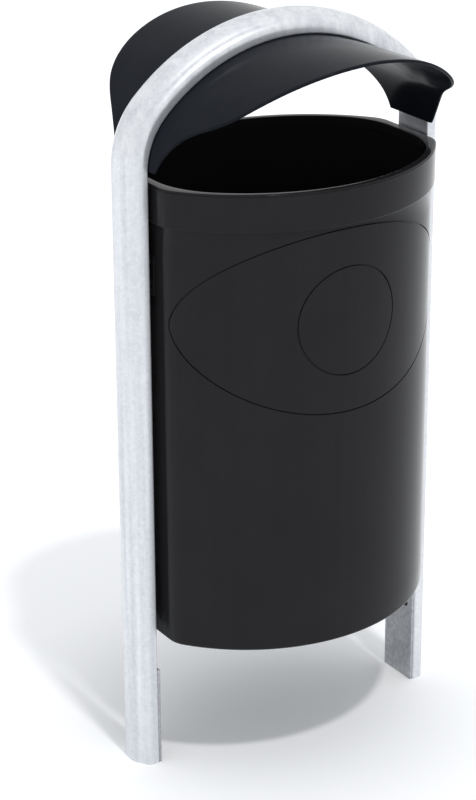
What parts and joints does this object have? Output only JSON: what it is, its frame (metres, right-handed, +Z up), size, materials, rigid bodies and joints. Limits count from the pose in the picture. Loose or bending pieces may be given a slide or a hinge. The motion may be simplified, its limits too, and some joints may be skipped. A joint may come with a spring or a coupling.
{
  "type": "litter bin",
  "caption": "Street litter bin: galvanised arch frame with a black moulded hood and a tilting black bucket that a key-turned cam locks upright.",
  "frame": {"origin": "on the ground, midway between the two posts and on their middle plane", "axes": "+Z up, +X across the bin from the left post to the right one, -Y towards the front that the bucket tips to"},
  "size_m": [0.486, 0.4028, 1.0126],
  "materials": {
    "galvanised_frame": "satin",
    "galvanised_plate": "satin",
    "black_hood": "gloss",
    "black_bucket": "satin",
    "black_insert": "matte",
    "bush_plastic": "satin",
    "black_plate": "satin",
    "black_screw": "satin",
    "zinc_screw": "satin",
    "pin_steel": "satin",
    "lock_brass": "satin"
  },
  "bodies": {
    "frame": {"arch_frame": "galvanised_frame", "foot_plate_left": "galvanised_plate", "foot_plate_right": "galvanised_plate", "foot_plug_left": "black_insert", "foot_plug_right": "black_insert", "foot_screws": "zinc_screw", "foot_nuts": "zinc_screw", "hood_shell": "black_hood", "hood_screws": "black_screw", "hood_washers": "black_screw", "hood_rivet_nuts": "zinc_screw", "hanger_plate_left": "black_plate", "hanger_plate_right": "black_plate", "hanger_screws": "black_screw", "hanger_nuts": "zinc_screw", "pivot_bush_left": "bush_plastic", "pivot_bush_right": "bush_plastic", "lock_keeper": "black_plate", "keeper_rivet": "zinc_screw"},
    "bucket": {"bucket_shell": "black_bucket", "pivot_plate_left": "black_plate", "pivot_plate_right": "black_plate", "pivot_pin_left": "pin_steel", "pivot_pin_right": "pin_steel", "pivot_washer_left": "bush_plastic", "pivot_washer_right": "bush_plastic", "stop_pin_left": "pin_steel", "stop_pin_right": "pin_steel", "backing_plate_left": "black_plate", "backing_plate_right": "black_plate", "plate_screws_left": "black_screw", "plate_screws_right": "black_screw", "plate_nuts_left": "zinc_screw", "plate_nuts_right": "zinc_screw", "lock_barrel": "lock_brass", "lock_clip": "zinc_screw"},
    "lock": {"lock_core": "lock_brass", "lock_cam": "zinc_screw", "cam_screw": "zinc_screw"}
  },
  "joints": [
    {"name": "tilt", "type": "hinge", "parent": "frame", "child": "bucket", "pos_m": [0, 0, 0.7], "axis": [1, 0, 0], "range_deg": [0, 110]},
    {"name": "lock_turn", "type": "hinge", "parent": "bucket", "child": "lock", "pos_m": [-0.205, 0, 0.748], "axis": [1, 0, 0], "range_deg": [0, 90]}
  ]
}
